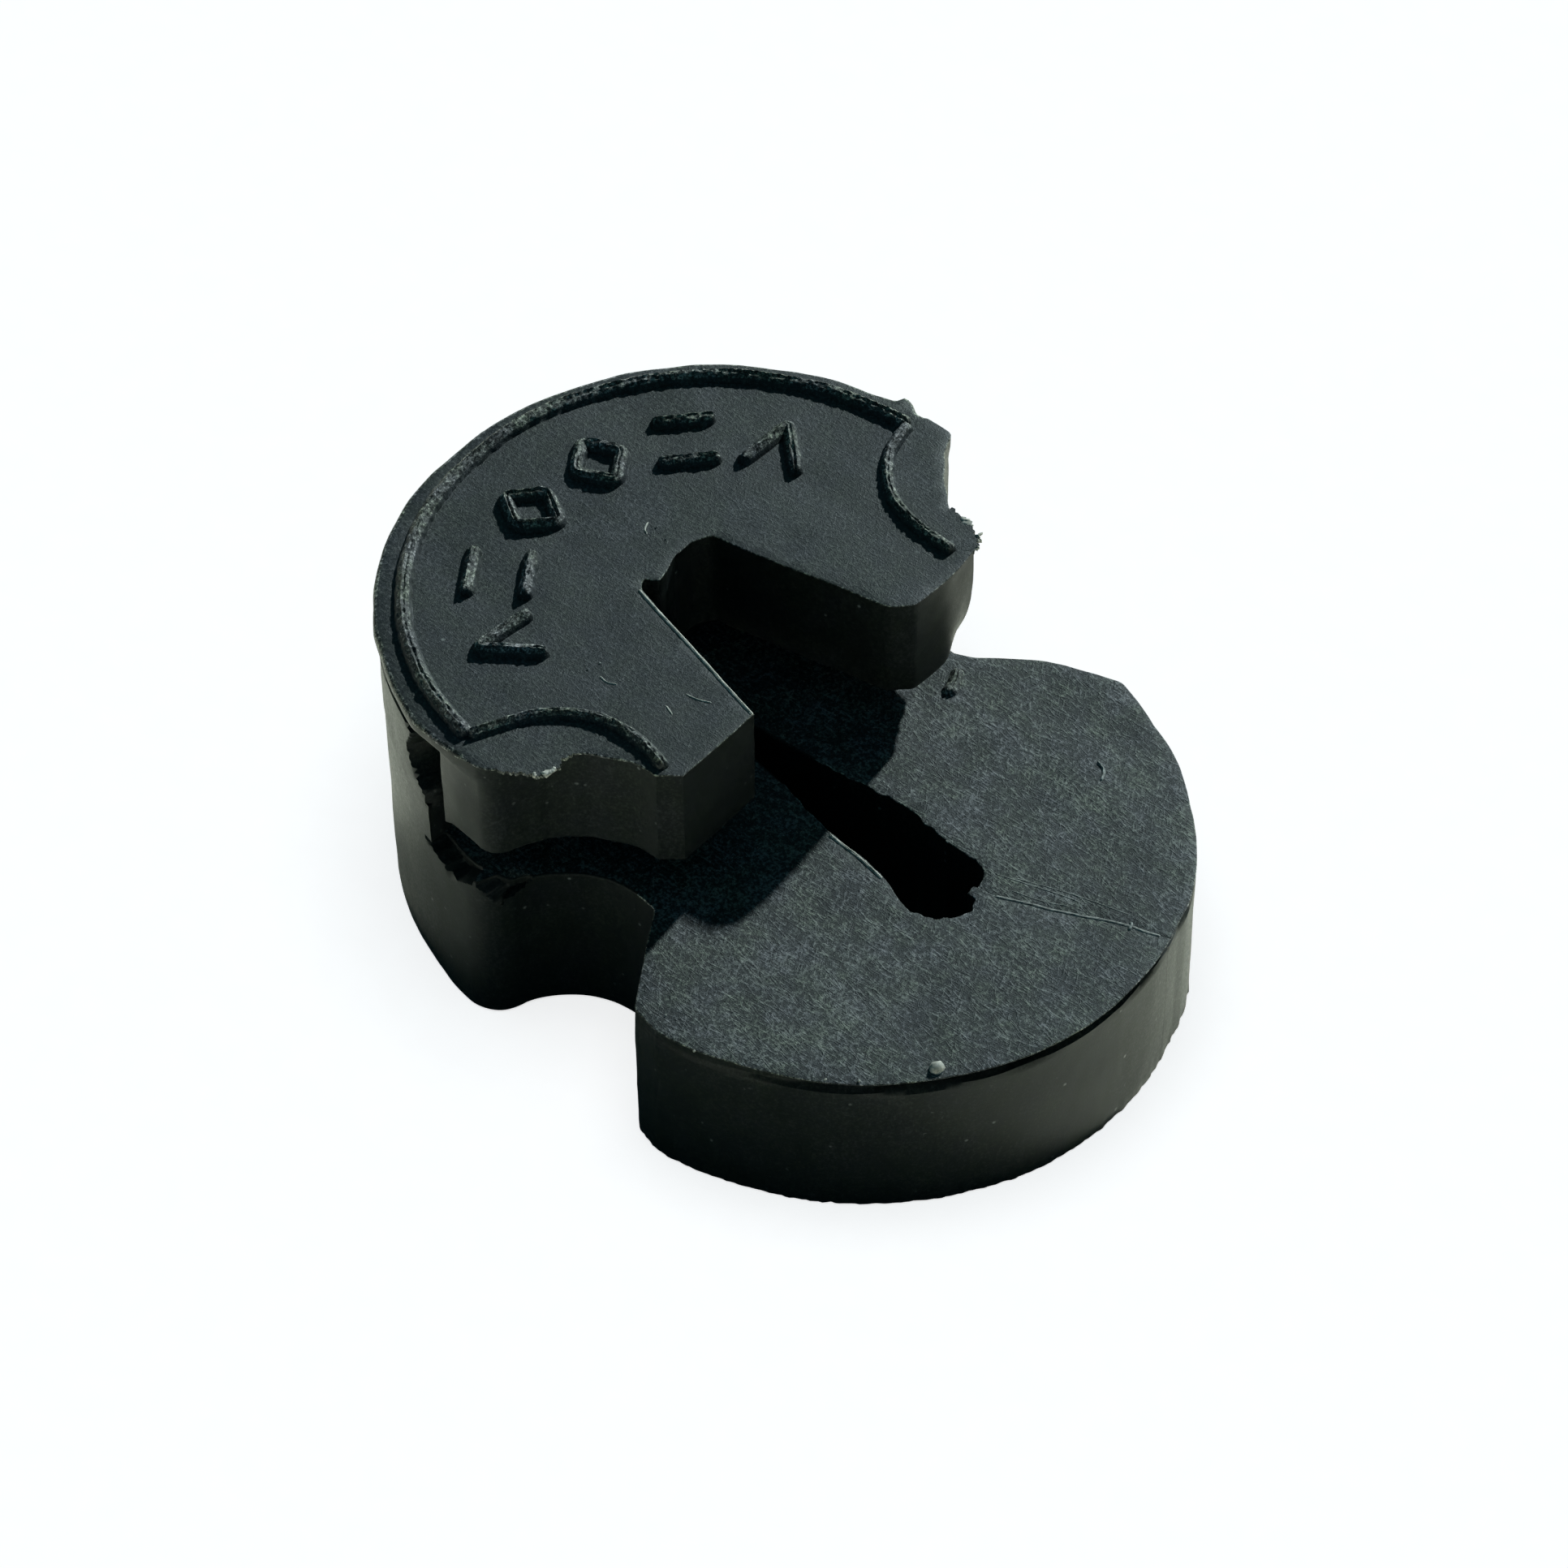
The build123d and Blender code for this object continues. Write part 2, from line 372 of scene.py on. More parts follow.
def ridge(points, half_width, height, base, seed, closed=False):
    """Closed mesh of a moulded ridge along a plan path, with a soft foot and rounded ends."""
    points = np.asarray(points, float)
    if closed:
        tangent = np.roll(points, -1, axis=0) - np.roll(points, 1, axis=0)
        swell = np.ones(len(points))
    else:
        tangent = np.gradient(points, axis=0)
        along = lengths(points)
        near_end = np.minimum(along, along[-1] - along) / half_width
        swell = np.sqrt(np.clip(1 - (1 - np.clip(near_end, 0, 1)) ** 2, 0.02, 1))
    tangent /= np.linalg.norm(tangent, axis=1)[:, None] + 1e-12
    side = np.stack([-tangent[:, 1], tangent[:, 0]], -1)
    rows = []
    for u in RIDGE_STATIONS:
        rise = max(0.0, 1 - abs(u) / 1.3) ** 0.62 if abs(u) > 0.3 else 0.93
        dip = np.clip(0.5 + flat_noise(points, 0.33, seed + 3), 0, 1) * math.exp(-(((u - 0.05) / 0.2) ** 2))
        wobble = noise_at(np.c_[points, np.full(len(points), 1.7 * u)], 6.3, seed)
        lift = height * rise * swell * (1 + 0.28 * wobble) * (1 - 0.5 * dip) - 0.02 * (abs(u) > 1.4)
        reach = half_width * (0.3 + 0.7 * swell) * (1 + 0.16 * flat_noise(points, 2.9, seed + 7))
        rows.append(np.c_[points + side * (u * reach)[:, None], base + lift])
    for row in (rows[-1], rows[0]):
        rows.append(np.c_[row[:, :2], np.full(len(points), base - RIDGE_ROOT)])
    count = len(points)
    faces = []
    for k in range(len(rows)):
        a, b = k * count, ((k + 1) % len(rows)) * count
        for i in range(count if closed else count - 1):
            j = (i + 1) % count
            faces.append((a + i, b + i, b + j, a + j))
    if not closed:
        faces.append(tuple(k * count for k in range(len(rows))))
        faces.append(tuple(k * count + count - 1 for k in reversed(range(len(rows)))))
    return np.concatenate(rows), faces


def together(parts):
    """Several (vertices, faces) as one."""
    vertices, faces = [], []
    for part_vertices, part_faces in parts:
        offset = sum(len(v) for v in vertices)
        vertices.append(part_vertices)
        faces.extend(tuple(i + offset for i in face) for face in part_faces)
    return np.concatenate(vertices), faces


def crumb(centre, size, rng, fineness=1):
    """A torn scrap of rubber: an uneven little lump."""
    ball = bmesh.new()
    bmesh.ops.create_icosphere(ball, subdivisions=fineness, radius=1)
    stretch = np.array([rng.uniform(0.5, 1.3), rng.uniform(0.5, 1.3), rng.uniform(0.4, 0.9)]) * size
    vertices = []
    spread = 0.35 / fineness ** 2
    for v in ball.verts:
        vertices.append(np.array(v.co) * stretch * rng.uniform(1 - spread, 1 + spread) + centre)
    faces = [tuple(v.index for v in face.verts) for face in ball.faces]
    ball.free()
    return np.array(vertices), faces


# ---------------------------------------------------------------- materials

def add_node(tree, kind, inputs=None, **settings):
    made = tree.nodes.new(kind)
    for key, value in settings.items():
        setattr(made, key, value)
    for key, value in (inputs or {}).items():
        if isinstance(value, bpy.types.NodeSocket):
            tree.links.new(value, made.inputs[key])
        else:
            made.inputs[key].default_value = value
    return made


def ramp(tree, source, *stops):
    """A colour ramp on a value; stops are (position, grey or colour)."""
    made = add_node(tree, "ShaderNodeValToRGB", {"Fac": source})
    elements = made.color_ramp.elements
    while len(elements) < len(stops):
        elements.new(0.5)
    for element, (position, colour) in zip(elements, stops):
        element.position = position
        element.color = (*((colour,) * 3 if isinstance(colour, (int, float)) else colour), 1)
    return made.outputs["Color"]


def noise_value(tree, coords, scale, detail=4.0, roughness=0.55):
    """Noise with features of about 1/scale metres."""
    inputs = {"Vector": coords, "Scale": scale, "Detail": detail, "Roughness": roughness}
    return add_node(tree, "ShaderNodeTexNoise", inputs).outputs["Fac"]


def streaks(tree, coords, angle, along, across):
    """Thin scratches along one plan direction, between 0 and 1."""
    turned = add_node(tree, "ShaderNodeMapping", {"Vector": coords, "Rotation": (0, 0, math.radians(-angle))})
    stretch = {"Vector": turned.outputs["Vector"], "Scale": (along, across, across)}
    drawn = add_node(tree, "ShaderNodeMapping", stretch)
    return ramp(tree, noise_value(tree, drawn.outputs["Vector"], 1.0, 2, 0.5), (0.57, 0.0), (0.70, 1.0))


def maths(tree, operation, a, b):
    return add_node(tree, "ShaderNodeMath", {0: a, 1: b}, operation=operation).outputs["Value"]


def mixed(tree, share, a, b, how="MIX"):
    made = add_node(tree, "ShaderNodeMix", {0: share, 6: a, 7: b}, data_type="RGBA", blend_type=how)
    return made.outputs[2]


# grinding marks: direction in plan in degrees, then how fine they are along and across
GRIND_MARKS = ((-13, 1500, 10500), (2, 1900, 12500), (13, 1300, 9500), (74, 2300, 12000), (-58, 2500, 11000))
GRAIN_RELIEF = 0.03 * MM


def new_material(name):
    """An empty material, its node tree, and the object coordinates in it."""
    material = bpy.data.materials.new(name)
    material.use_nodes = True
    tree = material.node_tree
    tree.nodes.clear()
    return material, tree, add_node(tree, "ShaderNodeTexCoord").outputs["Object"]


def rubber(name, deep, middle, pale, roughness, grain, scratched, gloss):
    """Black rubber: mottled colour, fine grain, dust, and rubbed scratches where it was ground."""
    material, tree, coords = new_material(name)
    cloud = noise_value(tree, coords, 420, 6, 0.7)
    fine = noise_value(tree, coords, 8200, 5, 0.8)
    grainy = noise_value(tree, coords, 21000, 2, 0.6)
    tone = maths(tree, "ADD", maths(tree, "MULTIPLY", cloud, 0.2), maths(tree, "MULTIPLY", fine, 0.8))
    height = maths(tree, "ADD", maths(tree, "MULTIPLY", fine, 0.5), maths(tree, "MULTIPLY", grainy, 0.5))
    if scratched:
        marks = streaks(tree, coords, *GRIND_MARKS[0])
        for direction in GRIND_MARKS[1:]:
            marks = maths(tree, "ADD", marks, streaks(tree, coords, *direction))
        tone = maths(tree, "ADD", tone, maths(tree, "MULTIPLY", marks, 0.045 * scratched))
        height = maths(tree, "ADD", height, maths(tree, "MULTIPLY", marks, 0.30 * scratched))
    hue = noise_value(tree, coords, 650, 8, 0.68)
    tint = ramp(tree, hue, (0.40, (0.98, 1.01, 0.88)), (0.60, (1.04, 0.98, 1.10)))
    base = mixed(tree, 1.0, ramp(tree, tone, (0.435, deep), (0.52, middle), (0.61, pale)), tint, "MULTIPLY")
    spots = add_node(tree, "ShaderNodeTexVoronoi", {"Vector": coords, "Scale": 1900.0}).outputs["Distance"]
    rare = ramp(tree, noise_value(tree, coords, 1300, 3, 0.6), (0.56, 0.0), (0.66, 0.8))
    dust = maths(tree, "MULTIPLY", ramp(tree, spots, (0.05, 1.0), (0.16, 0.0)), rare)
    bump = add_node(tree, "ShaderNodeBump", {"Strength": grain, "Distance": GRAIN_RELIEF, "Height": height})
    shader = add_node(tree, "ShaderNodeBsdfPrincipled", {
        "Base Color": mixed(tree, dust, base, (0.20, 0.21, 0.20, 1)),
        "Roughness": ramp(tree, fine, (0.35, roughness - 0.09), (0.65, roughness + 0.09)),
        "Normal": bump.outputs["Normal"],
        "IOR": 1.5,
        "Specular IOR Level": gloss,
    })
    add_node(tree, "ShaderNodeOutputMaterial", {"Surface": shader.outputs["BSDF"]})
    return material


def scrap_rubber(name, dark, pale):
    """Torn flash, crumbs, chips and scratches, paler than the rubber round them; the brightest one also
    paints highlights along lit edges.
    """
    material, tree, coords = new_material(name)
    tone = noise_value(tree, coords, 5000, 3, 0.6)
    bump = add_node(tree, "ShaderNodeBump", {"Strength": 0.6, "Distance": GRAIN_RELIEF, "Height": tone})
    shader = add_node(tree, "ShaderNodeBsdfPrincipled", {
        "Base Color": ramp(tree, tone, (0.35, dark), (0.62, pale)),
        "Roughness": ramp(tree, tone, (0.3, 0.6), (0.7, 0.8)),
        "Normal": bump.outputs["Normal"],
    })
    add_node(tree, "ShaderNodeOutputMaterial", {"Surface": shader.outputs["BSDF"]})
    return material


rubber_pieces = bpy.data.collections.new("rubber_pieces")
bpy.context.scene.collection.children.link(rubber_pieces)

moulded = rubber(
    "moulded_face", deep=(0.008, 0.011, 0.012), middle=(0.015, 0.020, 0.021), pale=(0.068, 0.074, 0.073),
    roughness=0.52, grain=0.7, scratched=0.35, gloss=0.4
)
# walls take a darker, less glossy copy of the face rubber: painted shade on the sides, with a smoother grain
# that is the real finish
wall = rubber(
    "moulded_wall_painted_shade", deep=(0.006, 0.008, 0.008), middle=(0.010, 0.013, 0.012), pale=(0.023, 0.027, 0.025),
    roughness=0.47, grain=0.22, scratched=0.0, gloss=0.14
)
# pale rubber for ridge crests and top edges: partly rubbed wear, partly a painted highlight where light
# catches them
wear_and_highlight = rubber(
    "crest_wear_painted_highlight", deep=(0.008, 0.010, 0.010), middle=(0.080, 0.086, 0.080), pale=(0.50, 0.50, 0.45),
    roughness=0.55, grain=0.9, scratched=0.0, gloss=0.22
)
ground = rubber(
    "ground_face", deep=(0.008, 0.011, 0.012), middle=(0.025, 0.031, 0.031), pale=(0.165, 0.175, 0.165),
    roughness=0.60, grain=0.75, scratched=1.0, gloss=0.35
)
torn = scrap_rubber("torn_flash", (0.06, 0.065, 0.062), (0.38, 0.39, 0.37))
faint = scrap_rubber("faint_scratch", (0.07, 0.07, 0.065), (0.30, 0.30, 0.28))
# pale chips and crumbs, and also a painted highlight along lit edges
bright = scrap_rubber("bare_chip_and_edge_highlight", (0.26, 0.25, 0.21), (0.55, 0.52, 0.46))


# ---------------------------------------------------------------- the moulding's zones

def on_notch(x_ahead, side):
    """Point of the plate notch's floor at a station."""
    centre, out = PLATE_NOTCH_CENTRE
    depth = math.sqrt(PLATE_NOTCH_RADIUS**2 - (x_ahead - centre) ** 2)
    return np.array([JAW_X + x_ahead, side * (out - depth)])


def plate_rim(side):
    """Half the base lobe's edge, from the seam on the notch's floor, round the corner, to straight back."""
    centre, out = PLATE_NOTCH_CENTRE
    floor_angle = 360 - math.degrees(math.acos((SEAM_AHEAD - centre) / PLATE_NOTCH_RADIUS))
    flank = arc((JAW_X + centre, out), PLATE_NOTCH_RADIUS, floor_angle, NOTCH_CORNER_ANGLE)
    lobe = arc((JAW_X, 0), BASE_RADIUS, PLATE_CORNER_ANGLE, 180)
    return joined(1.15, flank, lobe) * (1, side)


# outline points, (ahead, out), at the corners and bends of the real outline, measured on the photograph
# through its camera and rounded, with the hidden end of the slot guessed
SLOT_NARROW = ((3.9, 0.72), (1.5, 0.42), (-0.8, 0.2), (-1.2, 0.0), (-0.8, -0.2), (1.5, -0.45), (3.9, -0.72))
SLOT_RIGHT = (
    (3.9, 0.72), (6.2, 1.05), (6.9, 1.22), (8.0, 1.26), (9.3, 1.14), (10.6, 1.13), (11.2, 0.95), (11.42, 0.45)
)
SLOT_END = (
    (11.42, 0.38), (11.26, 0.3), (11.36, -0.05), (11.66, 0.02), (11.95, -0.42),
    (11.86, -1.0), (11.45, -1.52), (10.6, -1.88), (10.0, -1.75)
)
SLOT_LEFT = ((10.0, -1.75), (9.0, -1.4), (7.7, -1.24), (6.5, -1.2), (5.2, -1.0), (3.9, -0.72))
SLIT = (
    (11.42, 0.415), (12.1, 0.5), (13.14, 1.03), (13.7, 1.28), (14.69, 1.83),
    (15.43, 2.25), (16.02, 2.54), (16.47, 2.7), (17.5, 3.15)
)
SLIT_HALF = 0.005
SLIT_EDGE = 0.004  # rounding of its two edges
PLAIN_CENTRE = np.array([PLAIN_X, PLAIN_LOBE_Y])

# how far the plain lobe's edge stands out from round, at angles from straight ahead, measured on the
# photograph's outline and rounded
RIM_ANGLES = (-92, -85, -79, -70, -54, -38, -20, -8, 5, 14, 24, 28, 36, 50, 64, 71, 77, 83)
RIM_EXTRA = (
    0.03, 0.28, 0.25, 0.10, 0.07, 0.02, 0.06, 0.08, 0.08, 0.11, 0.11, 0.2, 0.22, 0.11, 0.17, 0.13, 0.22, 0.34
)
RIM_AT_SLIT = PLAIN_RADIUS + 0.11


def slit_side(side):
    """One face of the knife slit, from the slot out to the rim."""
    path = ahead(curve(*SLIT))
    tangent = np.gradient(path, axis=0)
    tangent /= np.linalg.norm(tangent, axis=1)[:, None]
    path = path + side * SLIT_HALF * np.stack([-tangent[:, 1], tangent[:, 0]], -1)
    reach = np.linalg.norm(path - PLAIN_CENTRE, axis=1)
    last = int(np.argmax(reach > RIM_AT_SLIT))
    share = (RIM_AT_SLIT - reach[last - 1]) / (reach[last] - reach[last - 1])
    tip = path[last - 1] + share * (path[last] - path[last - 1])
    return np.concatenate([path[:last - 1], [tip]])


def plain_rim(start, end):
    """The plain lobe's edge between two angles. It is trimmed a little off round."""
    rim = arc(PLAIN_CENTRE, PLAIN_RADIUS, start, end)
    extra = np.interp([rim_angle(p) for p in rim], RIM_ANGLES, RIM_EXTRA)
    return rim + (rim - PLAIN_CENTRE) / PLAIN_RADIUS * extra[:, None]


def rim_angle(point):
    return math.degrees(math.atan2(point[1] - PLAIN_LOBE_Y, point[0] - PLAIN_X))


def plate_outline():
    shape = Outline()
    narrow = ahead(curve(*SLOT_NARROW))[::-1]
    left, right = on_notch(SEAM_AHEAD, -1), on_notch(SEAM_AHEAD, 1)
    shape.run(plate_rim(-1)[::-1])
    shape.seam(left, narrow[0])
    shape.run(narrow)
    shape.seam(narrow[-1], right)
    shape.run(plate_rim(1))
    return shape


def under_web(shape):
    """Edges under the web are sharp, because the web goes on from there."""
    for i, p in enumerate(shape.points):
        if p[0] - JAW_X < WEB_END_AHEAD + NEAR_SEAM:
            shape.top[i] = 0
    return shape


def right_arm_outline():
    slot = jagged(ahead(curve(*SLOT_RIGHT)), 0.10, 2.6, 3.0)
    slit = slit_side(1)
    shoulder = ahead(curve((8.72, 10.3), (8.05, 10.03), (7.37, 9.76), (6.27, 9.26), (5.27, 8.44), (4.5, 7.7)))
    rim = plain_rim(rim_angle(slit[-1]), rim_angle(shoulder[0]))
    shoulder = shoulder + (rim[-1] - shoulder[0]) * np.linspace(1, 0, len(shoulder))[:, None]
    floor = np.array([on_notch(x, 1) for x in (4.55, 4.2, SEAM_AHEAD)])
    shape = Outline()
    shape.run(slot, 0.025, 0.025)
    shape.run(slit, SLIT_EDGE, SLIT_EDGE)
    shape.run(rim[:-7], 0.03, 0.03)
    shape.run(joined(0.16, rim[-8:], shoulder, straight(shoulder[-1], floor[-1])), 0.04)
    shape.seam(shape.points[-1], slot[0])
    return shape


def left_arm_outline():
    slit = slit_side(-1)
    end = jagged(ahead(straight(*SLOT_END)), 0.12, 3.3, 8.0)
    edge = jagged(ahead(curve(*SLOT_LEFT)), 0.05, 2.1, 5.0)
    rim = plain_rim(-91.0, rim_angle(slit[-1]))
    floor = on_notch(SEAM_AHEAD, -1)
    foot = np.array([JAW_X + 4.75, -7.42])
    shoulder = ahead(curve((4.75, -7.42), (5.4, -8.35), (6.3, -9.5), (7.15, -10.6)))
    shoulder = shoulder + (rim[0] - shoulder[-1]) * np.linspace(0, 1, len(shoulder))[:, None]
    shape = Outline()
    shape.run(joined(0.16, straight(floor, foot), shoulder, rim[:8]), 0.04)
    shape.run(rim[7:], 0.03, 0.03)
    shape.run(slit[::-1], SLIT_EDGE, SLIT_EDGE)
    shape.run(joined(0.1, end, edge), 0.03, 0.025)
    shape.seam(edge[-1], floor)
    return shape


def web_outline():
    shape = Outline()
    rim = arc((JAW_X, 0), BASE_RADIUS, WEB_END_ANGLE, 360 - WEB_END_ANGLE)
    middle = (JAW_X + WEB_MIDDLE_AHEAD, 0.0)
    chord = jagged(curve(rim[-1], middle, rim[0]), 0.12, 0.9, 2.0)
    shape.run(rim, 0, 0)
    shape.run(chord, 0, 0)
    return shape


RIM_ROUNDING = 0.14  # the jaw's outer rim is rubbed rounder than its other edges
WEDGE_LEFT = ((4.75, -2.9), (2.6, -2.45), (0.2, -1.93), (-1.7, -1.5))
WEDGE_END = (
    (-1.7, -1.5), (-1.95, -1.12), (-1.5, -0.85), (-1.62, -0.45), (-1.95, 0.3), (-1.98, 1.1), (-1.7, 1.8)
)
WEDGE_RIGHT = ((-1.7, 1.8), (0.3, 2.25), (2.5, 2.85), (4.6, 3.4))
RIGHT_SCALLOP = ((4.85, 7.1), (4.35, 7.5), (3.75, 7.82), (3.0, 8.0), (2.2, 8.6), (1.35, 9.5), (0.62, 10.5))
LEFT_SCALLOP = (
    (0.72, -10.42), (1.0, -9.4), (1.45, -8.5), (2.1, -7.85), (2.9, -7.35), (3.7, -7.02), (4.45, -6.95)
)


def jaw_outline():
    left_edge = jagged(ahead(curve(*WEDGE_LEFT)), 0.03, 1.4, 1.0)
    wedge = joined(
        0.12,
        left_edge[-8:],
        jagged(ahead(straight(*WEDGE_END)), 0.10, 3.5, 4.0),
        jagged(ahead(curve(*WEDGE_RIGHT)), 0.03, 1.4, 6.0),
        ahead(straight((4.6, 3.4), (5.15, 4.05))),
        ahead(curve((5.15, 4.05), (5.1, 5.6), (4.85, 7.1))),
    )
    right = ahead(curve(*RIGHT_SCALLOP))
    left = ahead(curve(*LEFT_SCALLOP))
    start = math.degrees(math.atan2(right[-1][1], right[-1][0] - JAW_X))
    end = 360 + math.degrees(math.atan2(left[0][1], left[0][0] - JAW_X))
    lobe = arc((JAW_X, 0), JAW_RADIUS, start, end)
    lobe[0], lobe[-1] = right[-1], left[0]
    shape = Outline()
    shape.run(left_edge[:-7], 0.08)
    shape.run(wedge, 0.03)
    lobe = joined(0.2, jagged(right, 0.09, 2.3, 9.0), lobe)
    shape.run(joined(0.6, lobe, jagged(left, 0.07, 2.8, 12.0)), 0.05)
    shape.run(ahead(straight((4.45, -6.95), (5.05, -6.35), (4.95, -4.6), (4.75, -2.9))), 0.03)
    for i, p in enumerate(shape.points):
        x_ahead = p[0] - JAW_X
        if x_ahead < WEB_END_AHEAD + NEAR_SEAM:
            shape.bottom[i] = 0
        if x_ahead < -5 or (x_ahead < -0.5 and abs(p[1]) > 3):
            shape.top[i] = RIM_ROUNDING
    return shape


def step_up(x, low, high):
    """Rises smoothly from 0 at low to 1 at high."""
    t = np.clip((x - low) / (high - low), 0, 1)
    return t * t * (3 - 2 * t)


def lobe_angle(vertices):
    """Angle round the jaw's centre in degrees, from straight ahead, and distance from the centre."""
    x, y = vertices[:, 0] - JAW_X, vertices[:, 1]
    return np.degrees(np.arctan2(y, x)), np.hypot(x, y)


def push_out(vertices, amount):
    """Moves points away from the jaw's centre in plan."""
    x, y = vertices[:, 0] - JAW_X, vertices[:, 1]
    r = np.hypot(x, y) + 1e-9
    moved = np.array(vertices, float)
    moved[:, 0] += x / r * amount
    moved[:, 1] += y / r * amount
    return moved


# where the web's skin ends, as an angle at each height, and how far the lip of flash stands out at each
# angle, both measured on the photograph and rounded
SKIN_HEIGHTS = (6.0, 7.6, 8.3, 8.5, 8.8, 9.3, 10.4, 10.8)
SKIN_ANGLES = (103.9, 102.7, 104.6, 106.8, 108.8, 110.3, 107.5, 113.0)
LIP_ANGLES = (-180, -170, -163, -156, -149, -141, -134, -126, -119, -112, -108, -104.5, -101, -96, -90, -87,
              84, 87, 92, 94.7, 96.7, 98.6, 99.6, 104)
LIP_SIZES = (0.06, 0.10, 0.17, 0.26, 0.29, 0.31, 0.35, 0.36, 0.30, 0.34, 0.38, 0.42, 0.32, 0.2, 0.06, 0,
             0, 0.10, 0.08, 0.02, 0.30, 0.45, 0.12, 0.04)
RIGHT_PRONG_CORNER = (4.85, 7.1)


def jaw_shape(vertices):
    """The web's skin laps up over the jaw's wall, with a torn crevice at its end, under a lip of flash."""
    angle, r = lobe_angle(vertices)
    z = vertices[:, 2]
    turned = np.abs(angle)
    rind = step_up(r, 9.7, 10.4)
    edge = np.interp(z, SKIN_HEIGHTS, SKIN_ANGLES) + 0.5 * noise_at(vertices, 1.9, 21)
    top = 10.62 + 0.10 * noise_at(vertices, 1.3, 5)
    skin = step_up(turned, edge - 0.3, edge + 0.3) * (1 - step_up(z, top - 0.05, top + 0.07))
    crevice = step_up(turned, 99.8, 101.2) * (1 - step_up(turned, edge - 0.6, edge))
    crevice = crevice * (1 - step_up(z, 10.7, 10.95))
    under_lip = step_up(turned, edge, edge + 1) * step_up(z, top, top + 0.08) * (1 - step_up(z, 11.0, 11.2))
    lip = np.interp(angle, LIP_ANGLES, LIP_SIZES) * step_up(z, 10.75, 11.35)
    uneven = 0.05 * noise_at(vertices, 0.8, 31)
    amount = 0.21 * skin - 0.8 * crevice - 0.10 * under_lip + lip + uneven * (turned > 85)
    moved = push_out(vertices, amount * rind)
    drop = 0.4 * np.exp(-(((turned - 101) / 2.5) ** 2)) * rind
    moved[:, 2] -= drop * (1 - step_up(z, GAP_TOP, GAP_TOP + 1))
    corner = ahead([RIGHT_PRONG_CORNER])[0]
    near = np.exp(-((np.linalg.norm(vertices[:, :2] - corner, axis=1) / 0.9) ** 2))
    lean = near * 0.6 * ((JAW_TOP - z) / (JAW_TOP - GAP_TOP)) ** 4
    moved[:, 0] -= 0.8 * lean
    moved[:, 1] -= 0.5 * lean
    return moved


# how deep the plate's top edge is chipped at angles round the jaw's centre, from depths measured on the
# photograph and then adjusted
CHIP_ANGLES = (-106, -103, -100, -97.4, -94.5, -91, -89, -87.3, -85.6, -84, 84, 86, 88, 92, 96, 100)
CHIP_DEPTHS = (0, 0.22, 0.3, 0.5, 0.3, 0, 0.25, 0.62, 0.35, 0, 0, 0.3, 0.1, 0.3, 0.2, 0)


def plate_shape(vertices):
    """Chips along the plate's top edge beside the end of the web, and a slightly spread foot."""
    angle, r = lobe_angle(vertices)
    z = vertices[:, 2]
    depth = np.interp(angle, CHIP_ANGLES, CHIP_DEPTHS) * (1 + 0.4 * noise_at(vertices, 3.1, 14))
    edge = step_up(r, 9.0, 10.2)
    cut = step_up(depth, 0.03, 0.12) * (1 - step_up(PLATE_TOP - z, depth, depth + 0.1))
    foot = np.exp(-(((angle + 94) / 7) ** 2)) * (1 - step_up(z, 0, 2.5))
    moved = push_out(vertices, edge * (0.11 * foot - 0.65 * cut))
    moved[:, 2] -= 0.3 * depth * edge * step_up(z, PLATE_TOP - 0.3, PLATE_TOP)
    return moved


def arm_shape(vertices):
    """A thin lip along the plain lobe's top edge, with a groove under it, from the front to the right."""
    x, y = vertices[:, 0] - PLAIN_X, vertices[:, 1] - PLAIN_LOBE_Y
    angle = np.degrees(np.arctan2(y, x))
    r = np.hypot(x, y) + 1e-9
    z = vertices[:, 2]
    share = step_up(angle, -95, -30) * (1 - step_up(angle, 22, 40))
    depth = PLATE_TOP - z
    width = 0.42 + 0.12 * noise_at(vertices, 0.35, 4)
    groove = step_up(depth, 0.06, 0.11) * (1 - step_up(depth, width, width + 0.16))
    lip = 1 - step_up(depth, 0.05, 0.10)
    rind = step_up(r, PLAIN_RADIUS - 0.25, PLAIN_RADIUS - 0.05)
    rough_foot = 0.06 * (z < 0.3) * noise_at(vertices, 3.7, 40)
    amount = rind * share * (0.07 * lip - 0.32 * groove) + rind * rough_foot
    moved = np.array(vertices, float)
    moved[:, 0] += x / r * amount
    moved[:, 1] += y / r * amount
    return moved


plate_edge = under_web(plate_outline())
plate_body = make_slab("plate_body", plate_edge, 0, PLATE_TOP, [wall, ground, wall], plate_shape)
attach(plate_body, "back")
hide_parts("back_plate")

for side, outline in (("left", left_arm_outline()), ("right", right_arm_outline())):
    # the top edge's rounding takes the pale look: a painted highlight along the rim, partly wear
    arm = make_slab(f"plain_lobe_{side}", outline, 0, PLATE_TOP, [wall, ground, wear_and_highlight], arm_shape)
    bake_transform(arm)
    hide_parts(f"waist_{side}", f"arm_{side}")

web_body = make_slab("web_body", web_outline(), PLATE_TOP, GAP_TOP, [wall, wall, wall])
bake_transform(web_body)
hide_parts("hinge_web")

# the top edge's rounding takes the pale look: a painted highlight along the rim, partly wear
jaw_looks = [wall, moulded, wear_and_highlight]
jaw_body = make_slab(
    "jaw_body", jaw_outline(), GAP_TOP, JAW_TOP, jaw_looks, jaw_shape, cap_step=0.36, wall_step=0.16
)
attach(jaw_body, "jaw")
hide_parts("front_jaw")


# ---------------------------------------------------------------- beads and motifs on the jaw

